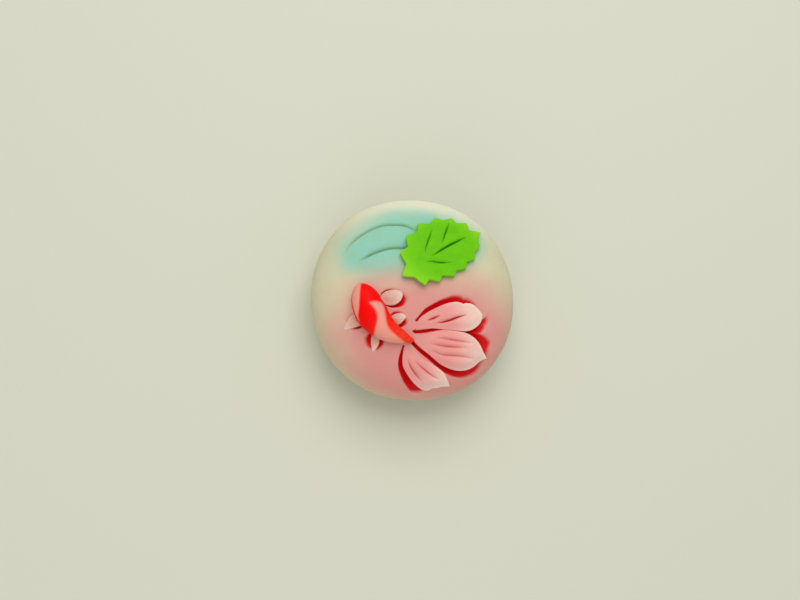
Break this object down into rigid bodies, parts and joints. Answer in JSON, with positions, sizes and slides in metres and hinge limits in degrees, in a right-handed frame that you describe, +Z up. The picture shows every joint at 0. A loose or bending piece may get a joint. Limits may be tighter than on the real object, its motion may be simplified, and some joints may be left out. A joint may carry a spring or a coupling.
{
  "type": "namagashi",
  "caption": "Flattened round bean-paste sweet with a goldfish relief cut through a pale skin to a red layer, and a serrated green leaf laid on top.",
  "frame": {"origin": "on the surface the sweet stands on, under the middle of its outline", "axes": "+Z up, +X towards the goldfish's tail, +Y away from the eater, towards the leaf"},
  "size_m": [0.0496, 0.0496, 0.0251],
  "materials": {
    "dough": "soft satin bean paste, cream at the rim, aqua and pink patches",
    "red_layer": "moist matte bean paste, dark red",
    "goldfish_body": "satin bean paste, marbled red and white",
    "leaf": "matte bean paste, bright green"
  },
  "bodies": {
    "root": {"dough": "dough", "red_layer": "red_layer", "goldfish_body": "goldfish_body", "leaf": "leaf"}
  },
  "joints": []
}
